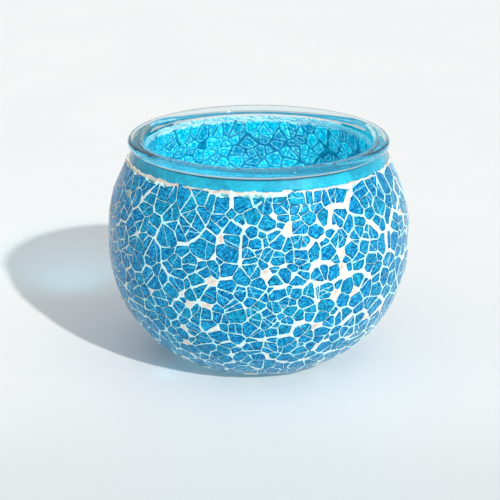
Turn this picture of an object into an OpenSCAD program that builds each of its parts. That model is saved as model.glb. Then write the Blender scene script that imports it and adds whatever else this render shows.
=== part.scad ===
// Votive candle holder. A clear pressed-glass bowl with a thick rolled lip is dressed
// outside with crackle glass: sheets of toughened glass that were broken into small
// flat chips, set sheet by sheet on a blue-tinted bed and filled with white grout.
// Millimetres, Z up, the table at z = 0 and the bowl's axis on the origin.

/* [Bowl] */
// Widest diameter, measured over the mosaic
belly_d = 100; // [96:1:102]
// Height from the table to the top of the lip
total_h = 74.7; // [74:0.1:76]
// Height at which the lower round meets the straight band
belly_z = 38.25; // [37.5:0.25:39]
// Height of the straight band at the widest place
band_h = 5.5; // [5:0.25:6]
// Radius of the lower round, seen from the side
lower_round = 42; // [41:0.25:43]
// Radius of the upper round, seen from the side
upper_round = 41.25; // [40:0.25:42]
// Lean of the shoulder where it runs straight up to the neck, in degrees
shoulder_lean = 23.2; // [22:0.2:24]
// Thickness of the clear glass wall
wall = 3; // [2.6:0.1:3.2]
// Height of the inner floor, where the candle stands
floor_z = 5.5; // [5:0.1:6.5]

/* [Lip and foot] */
// Outer diameter of the lip
lip_d = 85.7; // [85:0.1:87]
// Clear diameter of the mouth
mouth_d = 75; // [73:0.5:75.5]
// Outer round of the lip, half its height
lip_round = 1.5; // [1.3:0.1:1.7]
// Inner round of the lip
mouth_round = 2.2; // [1.8:0.1:2.4]
// How far the bare neck under the lip lies under the mosaic's outer surface
neck_inset = 0.6; // [0.4:0.1:1]
// Diameter of the flat foot
foot_d = 48; // [46:0.5:48.5]
// Diameter of the hollow pressed into the underside
punt_d = 36; // [30:1:38]
// Depth of that hollow
punt_h = 0.8; // [0.5:0.1:1.2]

/* [Mosaic] */
// Height of the mosaic's lower edge
mosaic_bottom = 2; // [2:0.1:3]
// Height of the mosaic's upper edge
mosaic_top = 67.9; // [67:0.1:68.2]
// Thickness of the crackle glass
chip_t = 2; // [1.8:0.1:2.2]
// Thickness of the blue-tinted bed under the chips
bed_t = 0.25; // [0.2:0.05:0.35]
// How far the middle of a flat chip lies under the rounded outer surface
chip_inset = 0.15; // [0.1:0.05:0.25]
// How far the wiped grout lies under the rounded outer surface
grout_inset = 0.1; // [0.05:0.05:0.2]
// Thickness of the glue skim under the chips
skim_t = 0.1; // [0.1:0.02:0.2]
// Usual width of a chip
chip_w = 3.9; // [3.9:0.1:5]
// How much wider than usual the chips are on the side with the widest ones
coarse_share = 0.14; // [0:0.02:0.2]
// Turn of that side round the axis, in degrees from X towards Y
coarse_turn = 120; // [0:10:350]
// Usual slant of the long chips, in degrees from level
chip_slant = 28; // [0:1:60]
// How unevenly the glass breaks: more gives small and large chips side by side
unevenness = 0.42; // [0.34:0.02:0.5]
// Smallest chip that stays in, in square millimetres; smaller ones are grouted over
least_chip = 2.4; // [2.4:0.2:5]
// Narrowest and widest crack inside one sheet, at the back of the chips
crack_w = [0.1, 0.3]; // [0.1:0.02:0.5]
// Narrowest and widest joint between two sheets, at the back of the chips
joint_w = [0.3, 1.4]; // [0.3:0.05:1.7]
// How much looser than usual the glass is set on the loosest side
loose_share = 0.7; // [0:0.1:0.9]
// Turn of that side round the axis, in degrees from X towards Y
loose_turn = 350; // [0:10:350]
// Grout left under the lowest chips, and over the highest ones
edge_w = [0.6, 1.5]; // [0.5:0.1:1.8]
// Part of the small chips that fell out and left a patch of grout
lost_part = 0.15; // [0.06:0.01:0.4]
// Number of sheets in each row, from the foot to the collar
sheets_in_row = [8, 11, 13, 11, 9]; // 8 to 13 in each row, 44 to 57 in all
// Which breakage to draw
breakage = 9; // [1:1:20]

/* [Hidden] */
$fn = 180;
ROW_NAMES = ["foot", "lower", "belly", "shoulder", "collar"];
SHEETS = [for (row = [0 : len(sheets_in_row) - 1])
    for (i = [0 : sheets_in_row[row] - 1]) [row, i]];
function sheet_name(row, i) = str(ROW_NAMES[row], "_sheet_", i < 9 ? "0" : "", i + 1);

back_inset = chip_inset + chip_t;
bed_inset = back_inset + skim_t;
glass_inset = bed_inset + bed_t;
inner_inset = glass_inset + wall;
lower_c = [belly_d / 2 - lower_round, belly_z];
upper_c = [belly_d / 2 - upper_round, belly_z + band_h];
fine_step = 3;
coarse_step = 8;
small_chip = 0.6 * chip_w * chip_w;

// How far chance moves things: the middle of a sheet by these parts of its row and of
// its turn, a seed by this part of the pitch, and the slant by this many degrees. The
// pitch is this part of chip_w at least, and in a few sheets up to the second one wider.
row_shake = 0.17;
turn_shake = 0.2;
seed_shake = 0.38;
slant_shake = 40;
least_pitch = 0.9;
wider_pitch = 0.55;
// Length to width of the seeds' grid, from the squarest sheet to the slimmest.
slimness = [1.1, 1.5];
// Parts of the pitch that a seed keeps clear of the next sheet and of the mosaic's edges.
sheet_clear = 0.27;
end_clear = 0.25;

// ---- the side curve -------------------------------------------------------
// Every layer follows one side curve: a lower round, a straight band, an upper round
// and a straight shoulder. A layer lies at its inset under the outer surface.

function polar(c, r, a) = c + r * [cos(a), sin(a)];
function arc(c, r, a1, a2, step) =
    let (n = max(1, ceil(abs(a2 - a1) / step)))
    [for (i = [0 : n]) polar(c, r, a1 + (a2 - a1) * i / n)];
function foot_angle(inset, z) = asin((z - belly_z) / (lower_round - inset));
low_edge = foot_angle(grout_inset, mosaic_bottom);
function shoulder_start(inset) = polar(upper_c, upper_round - inset, shoulder_lean);
function on_shoulder(inset, z) =
    let (p = shoulder_start(inset)) [p.x - (z - p.y) * tan(shoulder_lean), z];
function side_curve(inset, top, step) = concat(
    arc(lower_c, lower_round - inset, low_edge, 0, step),
    arc(upper_c, upper_round - inset, 0, shoulder_lean, step),
    [on_shoulder(inset, top)]);
function reversed(list) = [for (i = [len(list) - 1 : -1 : 0]) list[i]];

// ---- places on the back of the chips -------------------------------------
// s runs up the side curve from the widest place, and the answer is the radius,
// the height and the lean of the surface there.

back_low = lower_round - back_inset;
back_up = upper_round - back_inset;
deg = 180 / PI;
s_shoulder = band_h + back_up * shoulder_lean / deg;
s_bottom = low_edge / deg * back_low;
s_top = s_shoulder + (mosaic_top - shoulder_start(back_inset).y) / cos(shoulder_lean);
function back_at(s) =
    s < 0 ? let (a = s / back_low * deg, p = polar(lower_c, back_low, a)) [p.x, p.y, a]
    : s < band_h ? [belly_d / 2 - back_inset, belly_z + s, 0]
    : s < s_shoulder
        ? let (a = (s - band_h) / back_up * deg, p = polar(upper_c, back_up, a)) [p.x, p.y, a]
    : let (p = shoulder_start(back_inset), d = s - s_shoulder)
        [p.x - d * sin(shoulder_lean), p.y + d * cos(shoulder_lean), shoulder_lean];
function spot(s, turn) = let (b = back_at(s)) [b[0] * cos(turn), b[0] * sin(turn), b[1]];

// ---- breaking the glass ---------------------------------------------------
// Each sheet has a middle. The glass inside it breaks round seeds on its own grid,
// turned, stretched and shaken at random, and a seed that comes too near the next
// sheet is left out. A chip is the glass nearer to its seed than to any other, where
// each seed also has a pull of its own, so that large and small chips lie side by side.

function chance(n) = let (v = sin(n * 77.7 + 12.3) * 43758.5) v - floor(v);
row_h = (s_top - s_bottom) / len(sheets_in_row);
sheet_mid = [for (k = [0 : len(SHEETS) - 1])
    let (row = SHEETS[k][0], n = sheets_in_row[row],
        shake = rands(-1, 1, 2, breakage * 100 + k),
        s = s_bottom + row_h * (row + 0.5 + row_shake * shake[0]),
        turn = 360 / n * (SHEETS[k][1] + 0.5 * (row % 2) + turn_shake * shake[1]))
    [s, turn]];
sheet_spot = [for (m = sheet_mid) spot(m[0], m[1])];
function sheet_pitch(k) = chip_w * (least_pitch + wider_pitch * pow(chance(k + breakage), 3)
    + coarse_share * cos(sheet_mid[k][1] - coarse_turn));
function inside_sheet(k, p, margin) =
    let (own = sheet_spot[k])
    min([for (j = [0 : len(SHEETS) - 1])
        let (d = sheet_spot[j] - own, far = norm(d))
        j == k || far > 60 ? 99 : far / 2 - (p - own) * d / far]) > margin;
function sheet_seeds(k) =
    let (pitch = sheet_pitch(k), reach = 5, side = 2 * reach + 1,
        turned = chip_slant + slant_shake * (2 * chance(k * 3 + breakage) - 1),
        slim = slimness[0] + (slimness[1] - slimness[0]) * chance(k * 5 + 1),
        shake = rands(-seed_shake, seed_shake, side * side * 2, breakage * 1000 + k),
        pull = rands(-1, 1, side * side, breakage * 2000 + k))
    [for (i = [0 : side - 1]) for (j = [0 : side - 1])
        let (n = 2 * (i * side + j),
            x = (i - reach + shake[n] + 0.5 * (j % 2)) * pitch * slim,
            y = (j - reach + shake[n + 1]) * pitch / slim,
            s = sheet_mid[k][0] + x * sin(turned) + y * cos(turned))
        if (s > s_bottom + edge_w[0] + end_clear * pitch
            && s < s_top - edge_w[1] - end_clear * pitch)
            let (b = back_at(s),
                turn = sheet_mid[k][1] + (x * cos(turned) - y * sin(turned)) / b[0] * deg,
                p = spot(s, turn))
            if (inside_sheet(k, p, sheet_clear * pitch))
                [p, s, turn, k, b, unevenness * pitch * pitch * pull[n / 2]]];
seeds = [for (k = [0 : len(SHEETS) - 1]) each sheet_seeds(k)];

// The part of an outline on the near side of the line a * point = b.
function cut_outline(outline, a, b) =
    let (n = len(outline))
    [for (i = [0 : n - 1])
        let (p = outline[i], q = outline[(i + 1) % n], dp = a * p - b, dq = a * q - b)
        each concat(dp <= 0 ? [p] : [], dp * dq < 0 ? [p + (q - p) * dp / (dp - dq)] : [])];
function cut_by_all(outline, lines, i = 0) =
    i == len(lines) || len(outline) < 3 ? outline
    : cut_by_all(cut_outline(outline, lines[i][0], lines[i][1]), lines, i + 1);
function without_stubs(outline) =
    let (n = len(outline))
    [for (i = [0 : n - 1]) if (norm(outline[(i + 1) % n] - outline[i]) > 0.35) outline[i]];
function area(outline) =
    let (n = len(outline))
    n < 3 ? 0 : abs([for (i = [0 : n - 1]) cross(outline[i], outline[(i + 1) % n])]
        * [for (i = [0 : n - 1]) 0.5]);

function looseness(i) = 1 + loose_share * cos(seeds[i][2] - loose_turn);
function gap(i, j) =
    let (w = seeds[i][3] == seeds[j][3] ? crack_w : joint_w, c = chance(i + j + i * j / 7))
    w[0] + (w[1] - w[0]) * c * c * (looseness(i) + looseness(j)) / 2;
function chip_outline(i) =
    let (seed = seeds[i], p = seed[0], lean = seed[4][2], turn = seed[2],
        across = [-sin(turn), cos(turn), 0],
        up = [-sin(lean) * cos(turn), -sin(lean) * sin(turn), cos(lean)],
        half = 12,
        lines = concat(
            [[[0, 1], s_top - edge_w[1] - seed[1]], [[0, -1], seed[1] - s_bottom - edge_w[0]]],
            [for (j = [0 : len(seeds) - 1])
                if (j != i && abs(seeds[j][1] - seed[1]) < half)
                    let (d = seeds[j][0] - p, far = norm(d))
                    if (far < half)
                        [[d * across, d * up] / far,
                            (far - gap(i, j) + (seed[5] - seeds[j][5]) / far) / 2]]))
    without_stubs(cut_by_all(
        [[-half, -half], [half, -half], [half, half], [-half, half]] / 2, lines));
function stays_in(i, size) =
    size > least_chip
        && (size > small_chip || chance(i * 1.7 + breakage) >= lost_part * looseness(i));

// ---- the pieces -----------------------------------------------------------

// Lifts a flat outline on to the bowl: x runs round it, y up it and z out of it.
module on_bowl(i) {
    b = seeds[i][4];
    rotate([0, 0, seeds[i][2]])
        translate([b[0], 0, b[1]])
            rotate([0, -b[2], 0])
                rotate([90, 0, 90])
                    children();
}

module chip(i, thick) {
    outline = chip_outline(i);
    if (stays_in(i, area(outline)))
        on_bowl(i)
            linear_extrude(thick)
                polygon(outline);
}

module crackle_sheet(k) {
    color([0.07, 0.55, 0.83])
        for (i = [0 : len(seeds) - 1])
            if (seeds[i][3] == k)
                chip(i, chip_t);
}

// Clear glass: the foot, the wall, the neck and the rolled lip in one pressing. The bare
// neck is as thick as wall and mosaic together, so the mosaic ends against its ledge.
module glass_bowl() {
    lip_r = lip_d / 2;
    mouth_r = mouth_d / 2;
    lip_c = [lip_r - lip_round, total_h - lip_round];
    neck_away = (lip_c.x - on_shoulder(neck_inset, lip_c.y).x) * cos(shoulder_lean);
    under_lip = shoulder_lean - 180 + acos(min(1, neck_away / lip_round));
    ledge_z = mosaic_top + 0.1;
    mouth_c = [mouth_r + mouth_round, total_h - mouth_round];
    inner_top = shoulder_start(inner_inset);
    inner_neck_z = inner_top.y + (inner_top.x - mouth_r) / tan(shoulder_lean);
    foot_r = foot_d / 2;
    foot_top = foot_r - lower_c.x;
    foot_z = belly_z - sqrt(pow(lower_round - glass_inset, 2) - foot_top * foot_top);
    outside = concat(
        arc([foot_r - 0.6, 0.6], 0.6, -90, 0, 30),
        arc(lower_c, lower_round - glass_inset,
            foot_angle(glass_inset, foot_z), 0, fine_step),
        arc(upper_c, upper_round - glass_inset, 0, shoulder_lean, fine_step),
        [on_shoulder(glass_inset, ledge_z), on_shoulder(neck_inset, ledge_z)],
        arc(lip_c, lip_round, under_lip, 90, 15));
    inside = concat(
        arc(mouth_c, mouth_round, 90, 180, 15),
        [[mouth_r, inner_neck_z]],
        reversed(arc(upper_c, upper_round - inner_inset, 0, shoulder_lean, fine_step)),
        reversed(arc(lower_c, lower_round - inner_inset,
            foot_angle(inner_inset, floor_z), 0, fine_step)));
    color([0.8, 0.9, 0.93, 0.5])
        rotate_extrude()
            polygon(concat(
                [[0, punt_h], [punt_d / 2 - punt_h, punt_h], [punt_d / 2, 0]],
                outside, inside, [[0, floor_z]]));
}

// The thin blue layer that holds the chips, between the bowl and their backs.
module tint_bed() {
    color([0.0, 0.42, 0.75])
        rotate_extrude()
            polygon(concat(
                side_curve(bed_inset, mosaic_top, coarse_step),
                reversed(side_curve(glass_inset, mosaic_top, fine_step))));
}

// White grout: a shell between the bed and the outer surface, with a pocket for every
// chip and only the glue skim left under it.
module grout() {
    color([0.95, 0.93, 0.9])
        difference() {
            rotate_extrude()
                polygon(concat(
                    side_curve(grout_inset, mosaic_top - 0.2, coarse_step),
                    reversed(side_curve(bed_inset, mosaic_top, coarse_step))));
            for (i = [0 : len(seeds) - 1])
                chip(i, 2 * chip_t);
        }
}

glass_bowl();
tint_bed();
grout();
for (k = [0 : len(SHEETS) - 1])
    crackle_sheet(k);
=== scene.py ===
# %% [markdown]
# # A crackle-glass candle holder
#
# This lesson dresses a round votive candle holder. Its maker presses a clear glass bowl, lays a
# blue-tinted bed on the outside, sets broken sheets of toughened glass on it, and rubs white
# grout into every crack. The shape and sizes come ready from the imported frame, so the lesson is
# about surfaces: broken edges, wiped grout, and glass that shows what lies behind it.

# %% Load the frame
import math
import random

import bmesh
import bpy
import numpy as np
from mathutils import Matrix, Vector, noise


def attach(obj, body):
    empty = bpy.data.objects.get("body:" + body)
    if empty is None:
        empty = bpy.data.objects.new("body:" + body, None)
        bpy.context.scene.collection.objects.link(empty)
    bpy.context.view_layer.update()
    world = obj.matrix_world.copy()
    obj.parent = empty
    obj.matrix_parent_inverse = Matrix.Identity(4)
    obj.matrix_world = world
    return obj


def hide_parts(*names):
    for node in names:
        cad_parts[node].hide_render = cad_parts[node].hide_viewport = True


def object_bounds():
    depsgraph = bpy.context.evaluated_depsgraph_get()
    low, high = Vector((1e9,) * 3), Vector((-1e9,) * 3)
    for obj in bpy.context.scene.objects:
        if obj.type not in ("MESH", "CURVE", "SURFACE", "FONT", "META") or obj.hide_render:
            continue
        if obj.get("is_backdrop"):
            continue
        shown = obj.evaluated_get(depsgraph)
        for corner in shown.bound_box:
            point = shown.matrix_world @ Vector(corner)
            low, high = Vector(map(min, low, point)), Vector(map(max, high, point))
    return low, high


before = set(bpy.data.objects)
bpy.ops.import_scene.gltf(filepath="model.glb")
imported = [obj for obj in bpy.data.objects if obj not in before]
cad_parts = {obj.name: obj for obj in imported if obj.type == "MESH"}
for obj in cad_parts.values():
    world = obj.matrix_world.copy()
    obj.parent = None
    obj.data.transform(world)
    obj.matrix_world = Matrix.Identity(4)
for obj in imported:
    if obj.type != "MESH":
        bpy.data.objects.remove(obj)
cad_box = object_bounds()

sheet_nodes = sorted(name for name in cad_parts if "_sheet_" in name)
print("the frame holds", len(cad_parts), "nodes,", len(sheet_nodes), "of them broken sheets")

# %% [markdown]
# ## The side curve
#
# Every layer of the holder follows one curve, seen from the side: a lower round, a short
# straight band at the widest place, an upper round, and a straight shoulder up to the neck. We
# could trace it from the frame's vertices. Writing it as arcs is shorter, and it gives the
# surface's lean at any place, which the layers need. Sizes are in metres, so a millimetre is a
# named value. A place is given by its distance up the curve and by how deep it lies.

# %% The side curve
MM = 0.001
BELLY_RADIUS = 50 * MM
BELLY_Z = 38.25 * MM
BAND_HEIGHT = 5.5 * MM
LOWER_ROUND = 42 * MM
UPPER_ROUND = 41.25 * MM
SHOULDER_LEAN = math.radians(23.2)
SHOULDER_START = BAND_HEIGHT + UPPER_ROUND * SHOULDER_LEAN
MOSAIC_BOTTOM = 2 * MM
MOSAIC_TOP = 67.7 * MM
BACK_DEPTH = 2.15 * MM
GLASS_DEPTH = 2.5 * MM
NECK_DEPTH = 0.6 * MM
WALL = 3 * MM


def side_point(up, depth):
    """Radius, height and lean of the place at that distance up the curve and that depth."""
    up = np.asarray(up, float)
    lower = up < 0
    lean = np.where(lower, up / LOWER_ROUND,
                    np.clip((up - BAND_HEIGHT) / UPPER_ROUND, 0, SHOULDER_LEAN))
    round_ = np.where(lower, LOWER_ROUND, UPPER_ROUND)
    past = np.maximum(up - SHOULDER_START, 0)
    radius = BELLY_RADIUS - round_ + (round_ - depth) * np.cos(lean) - past * math.sin(SHOULDER_LEAN)
    height = (BELLY_Z + np.clip(up, 0, BAND_HEIGHT) + (round_ - depth) * np.sin(lean)
              + past * math.cos(SHOULDER_LEAN))
    return radius, height, lean


UP_BOTTOM = LOWER_ROUND * math.asin((MOSAIC_BOTTOM - BELLY_Z) / LOWER_ROUND)
UP_TOP = SHOULDER_START + (MOSAIC_TOP - side_point(SHOULDER_START, 0)[1]) / math.cos(SHOULDER_LEAN)
print("the mosaic runs", round((UP_TOP - UP_BOTTOM) / MM, 1), "mm up the side")

# %% [markdown]
# ## Reading the chips
#
# Each node of the frame is one broken sheet, and each chip in it is a flat solid. To give a chip
# a broken edge we need its flat outline, not its triangles. Merging the vertices and dissolving
# the flat edges turns a chip back into two many-sided faces and a ring of side faces. The face
# that looks away from the bowl's middle is the front, and its corners are the outline. Blender
# may start that face at any corner, so we start at the one furthest across, every time.

# %% Read the chips from the frame
BOWL_MIDDLE = Vector((0, 0, BELLY_Z))
SAME_PLACE, SAME_LEAN = 0.002 * MM, math.radians(2)


def connected_faces(mesh):
    """The mesh's faces in groups, one for each separate solid."""
    left = set(mesh.faces)
    while left:
        group, wave = set(), [left.pop()]
        while wave:
            face = wave.pop()
            group.add(face)
            near = {f for edge in face.edges for f in edge.link_faces} & left
            left -= near
            wave += near
        yield sorted(group, key=lambda f: f.index)


def read_chips(node):
    """The chips of one sheet: each one's middle, normal, flat axes, outline and thickness."""
    mesh = bmesh.new()
    mesh.from_mesh(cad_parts[node].data)
    bmesh.ops.remove_doubles(mesh, verts=mesh.verts, dist=SAME_PLACE)
    bmesh.ops.dissolve_limit(mesh, angle_limit=SAME_LEAN, verts=mesh.verts, edges=mesh.edges)
    mesh.faces.index_update()
    chips = []
    for faces in connected_faces(mesh):
        middle = sum((f.calc_center_median() for f in faces), Vector()) / len(faces)
        outward = (middle - BOWL_MIDDLE).normalized()
        front = max(faces, key=lambda f: f.normal.dot(outward))
        back = min(faces, key=lambda f: f.normal.dot(outward))
        normal = front.normal.copy()
        across = Vector((0, 0, 1)).cross(normal).normalized()
        up = normal.cross(across)
        centre = front.calc_center_median_weighted()
        corners = [v.co - centre for v in front.verts]
        outline = np.array([(p.dot(across), p.dot(up)) for p in corners])
        first = int(outline[:, 0].argmax())
        chips.append({
            "centre": np.array(centre), "normal": np.array(normal),
            "across": np.array(across), "up": np.array(up),
            "outline": np.roll(outline, -first, axis=0),
            "thick": (centre - back.calc_center_median_weighted()).dot(normal)})
    mesh.free()
    chips.sort(key=lambda c: (round(c["centre"][2], 5), round(c["centre"][0], 5)))
    return chips


sheets = {node: read_chips(node) for node in sheet_nodes}
print("read", sum(len(chips) for chips in sheets.values()), "chips")

# %% [markdown]
# ## Cracked chips
#
# Toughened glass goes on cracking after it is set, so many of the larger chips have a fine crack
# right through them, and some have two or more. A painted line would do from afar. We really cut
# the outline in two, because each half then gets its own rubbed edges and its own slight tilt,
# and the grout can creep in between. A cut keeps the part of an outline on one side of a line.

# %% Cut an outline
SHORT_SIDE = 0.25 * MM


def outline_area(outline):
    x, y = outline.T
    return abs((x * np.roll(y, -1) - y * np.roll(x, -1)).sum()) / 2


def slimness(outline):
    """The outline's length squared over its area: 13 for a disc, 16 for a square."""
    sides = np.linalg.norm(np.roll(outline, -1, 0) - outline, axis=1)
    return sides.sum() ** 2 / outline_area(outline)


def cut_outline(outline, direction, limit):
    """The part of the outline whose distance along the direction is under the limit."""
    past = outline @ direction - limit
    kept = []
    for i, corner in enumerate(outline):
        after = (i + 1) % len(outline)
        if past[i] <= 0:
            kept.append(corner)
        if past[i] * past[after] < 0:
            kept.append(corner + (outline[after] - corner) * past[i] / (past[i] - past[after]))
    return np.array(kept)


def without_short_sides(outline):
    return outline[np.linalg.norm(np.roll(outline, -1, 0) - outline, axis=1) > SHORT_SIDE]


print("ready to cut")

# %% [markdown]
# Glass breaks across its narrow way, so a crack runs about square to the chip's long direction,
# somewhere near its middle. The larger the chip, the likelier the crack. A cut that would leave a
# crumb or a needle is given up. Each part then gets a tone, which sets its shade of blue, and a
# very few of the small ones are clear slivers without tint.

# %% Crack the larger chips
CRACK_GAP = (0.16 * MM, 0.3 * MM)
CRACK_TURN = 0.45
CRACK_PLACE = (0.36, 0.64)
SMALL_CHIP, SURE_CHIP = 17 * MM * MM, 60 * MM * MM
LEAST_PART, MOST_SLIM = 2.5 * MM * MM, 22
CLEAR_SLIVER, CLEAR_SHARE = 5 * MM * MM, 0.04


def crack_chip(chip, chance):
    """The chip, or its two or more parts when it is cracked."""
    area = outline_area(chip["outline"])
    if area < SMALL_CHIP or chance.random() > 0.1 + area / SURE_CHIP:
        return [chip]
    spread = np.linalg.eigh(np.cov(chip["outline"].T))[1][:, 1]
    turn = math.atan2(spread[1], spread[0]) + chance.uniform(-CRACK_TURN, CRACK_TURN)
    direction = np.array([math.cos(turn), math.sin(turn)])
    reach = chip["outline"] @ direction
    place = reach.min() + (reach.max() - reach.min()) * chance.uniform(*CRACK_PLACE)
    half_gap = chance.uniform(*CRACK_GAP) / 2
    parts = []
    for side in (1, -1):
        outline = cut_outline(chip["outline"], side * direction, side * place - half_gap)
        outline = without_short_sides(outline) if len(outline) > 2 else outline
        if len(outline) < 4 or outline_area(outline) < LEAST_PART or slimness(outline) > MOST_SLIM:
            return [chip]
        middle = outline.mean(0)
        part = dict(chip, outline=outline - middle,
                    centre=chip["centre"] + middle[0] * chip["across"] + middle[1] * chip["up"])
        parts += crack_chip(part, chance)
    return parts


dice = random.Random(7)
for node in sheet_nodes:
    sheets[node] = [part for chip in sheets[node] for part in crack_chip(chip, dice)]
all_chips = [chip for node in sheet_nodes for chip in sheets[node]]
for chip in all_chips:
    chip["tone"] = dice.random()
    chip["size"] = float(np.linalg.norm(chip["outline"], axis=1).max())
    chip["clear"] = float(outline_area(chip["outline"]) < CLEAR_SLIVER and dice.random() < CLEAR_SHARE)
print("cracked into", len(all_chips), "parts, the widest",
      round(max(c["size"] for c in all_chips) * 2 / MM, 1), "mm")

# %% [markdown]
# ## Snug sheets
#
# Over most of the bowl the sheets were laid almost touching, and only on the right did they slide
# apart. The frame's joints are a little generous everywhere, which keeps its solids apart. Here
# each side of a chip moves out by half of what its gap has too much, so the chips stay clear of
# each other and the joint ends as a thin line. Where a chip is missing, its neighbours hardly
# move, so the patch stays open. Corners follow the two sides that meet in them.

# %% Measure and move the sides
SNUG_GAP, MOST_GROWTH = 0.25 * MM, 0.6 * MM
OPEN_PATCH, PATCH_GROWTH = 1.8 * MM, 0.2 * MM
SLID_FROM, SLID_TO = 10 * MM, 30 * MM
FAR_OFF = 1.0
SIDE_PLACES = (0.05, 0.35, 0.65, 0.95)
SHARPEST = 0.5


def edge_lines(outline):
    """The outward normal and distance of each side of a flat outline."""
    ahead = np.roll(outline, -1, 0) - outline
    out = np.stack([ahead[:, 1], -ahead[:, 0]], 1) / np.linalg.norm(ahead, axis=1)[:, None]
    return out, (out * outline).sum(1)


def corners_in_space(chip):
    flat = chip["outline"]
    return chip["centre"] + flat[:, :1] * chip["across"] + flat[:, 1:] * chip["up"]


def side_growth(chip, neighbours):
    """How far each side of the chip moves out."""
    own = corners_in_space(chip)
    ahead = np.roll(own, -1, 0)
    start = np.concatenate([corners_in_space(other) for other in neighbours])
    side = np.concatenate([np.roll(corners_in_space(other), -1, 0) for other in neighbours]) - start
    nearest = np.full(len(own), FAR_OFF)
    for share in SIDE_PLACES:
        away = (own + (ahead - own) * share)[:, None] - start
        along = np.clip((away * side).sum(-1) / (side ** 2).sum(-1), 0, 1)
        nearest = np.minimum(nearest, np.linalg.norm(away - along[..., None] * side, axis=-1).min(1))
    growth = np.clip((nearest - SNUG_GAP) / 2, 0, MOST_GROWTH)
    growth = np.where(nearest > OPEN_PATCH, PATCH_GROWTH, growth)
    return growth * (1 - np.clip((chip["centre"][0] - SLID_FROM) / (SLID_TO - SLID_FROM), 0, 1))


def grown(outline, growth):
    """The outline with each side moved out by its own growth."""
    out, _ = edge_lines(outline)
    before = np.roll(out, 1, 0)
    push = out * growth[:, None] + before * np.roll(growth, 1)[:, None]
    return outline + push / np.maximum(1 + (out * before).sum(1), SHARPEST)[:, None]


print("joints close to", SNUG_GAP / MM, "mm")

# %% [markdown]
# Every growth is measured before any chip changes, or a chip that moved first would push its
# neighbour away. Only chips near enough to share a joint are compared, which keeps this quick.

# %% Close the generous joints
centres = np.array([chip["centre"] for chip in all_chips])
sizes = np.array([chip["size"] for chip in all_chips])
new_outlines = []
for i, chip in enumerate(all_chips):
    gap = np.linalg.norm(centres - centres[i], axis=1) - sizes - sizes[i]
    near = [k for k in np.flatnonzero(gap < OPEN_PATCH) if k != i]
    growth = side_growth(chip, [all_chips[k] for k in near])
    new_outlines.append(grown(chip["outline"], growth))
for chip, outline in zip(all_chips, new_outlines):
    chip["outline"] = outline
    chip["size"] = float(np.linalg.norm(outline, axis=1).max())
print("closed the generous joints of", len(new_outlines), "parts")

# %% [markdown]
# ## A map of the mosaic
#
# The grout and the tinted bed both need to know where the chips are: how far each place is from
# the nearest chip's edge, and how high that chip's face stands. We lay a grid over the bowl, one
# row for each height and one column for each turn, and let every chip write its distance into
# the few grid points round it. The distance is negative under a chip and positive in the grout.
# The height is an average in which the nearest chips count most, so it never jumps. The bed also
# wants the tone of the chip in front of it, so the map keeps that too.

# %% Map the chips on a grid
TURNS = 760
ROWS = 200
MAP_REACH, WINDOW_SPARE = 3.5 * MM, 1.3
PLAIN_TONE = 0.5
PLAIN_WEIGHT, PLAIN_LIFT = 0.02, -0.1 * MM
NEAREST, MOST_LIFT = 0.1, 0.3 * MM
grid_up = np.linspace(UP_BOTTOM, UP_TOP, ROWS)
grid_turn = np.arange(TURNS) * 2 * math.pi / TURNS


def grid_places(up, depth):
    """Points and outward normals over the whole turn; up and depth are rows or whole grids."""
    radius, height, lean = side_point(up, depth)
    if radius.ndim == 1:
        radius, height, lean = (np.repeat(a[:, None], TURNS, 1) for a in (radius, height, lean))
    points = np.stack([radius * np.cos(grid_turn), radius * np.sin(grid_turn), height], -1)
    normals = np.stack([np.cos(lean) * np.cos(grid_turn), np.cos(lean) * np.sin(grid_turn),
                        np.sin(lean)], -1)
    return points, normals


def map_window(chip, points):
    """The rows and columns of the grid that the chip can reach."""
    reach = chip["size"] + MAP_REACH
    x, y, z = chip["centre"]
    radius = math.hypot(x, y)
    row_step, turn_step = grid_up[1] - grid_up[0], grid_turn[1]
    row = int(np.argmin((points[:, 0, 2] - z) ** 2 + (np.hypot(*points[:, 0, :2].T) - radius) ** 2))
    rows = np.arange(max(0, row - int(reach / row_step) - 1),
                     min(ROWS, row + int(reach / row_step) + 2))
    span = int(reach / radius * WINDOW_SPARE / turn_step) + 1
    turn = int(round(math.atan2(y, x) / turn_step))
    return np.ix_(rows, np.arange(turn - span, turn + span + 1) % TURNS)


def map_chips(chips):
    """Grids of the distance to the nearest chip's edge, that chip's face height and its tone."""
    points, normals = grid_places(grid_up, 0)
    edge = np.full((ROWS, TURNS), MAP_REACH)
    tone = np.full((ROWS, TURNS), PLAIN_TONE)
    weight = np.full((ROWS, TURNS), PLAIN_WEIGHT)
    lift = weight * PLAIN_LIFT
    for chip in chips:
        out, far = edge_lines(chip["outline"])
        window = map_window(chip, points)
        away = points[window] - chip["centre"]
        flat = np.stack([away @ chip["across"], away @ chip["up"]], -1)
        distance = (flat @ out.T - far).max(-1)
        height = -(away @ chip["normal"]) / (normals[window] @ chip["normal"])
        nearer = distance < edge[window]
        edge[window] = np.where(nearer, distance, edge[window])
        tone[window] = np.where(nearer, chip["tone"], tone[window])
        pull = 1 / (NEAREST + np.maximum(distance, 0) / MM) ** 2 * (distance < MAP_REACH)
        weight[window] += pull
        lift[window] += pull * np.clip(height, -MOST_LIFT, MOST_LIFT)
    return edge, lift / weight, tone


chip_edge, chip_lift, chip_tone = map_chips(all_chips)
print("chips cover", round(float((chip_edge < 0).mean()) * 100), "% of the grid")
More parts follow.
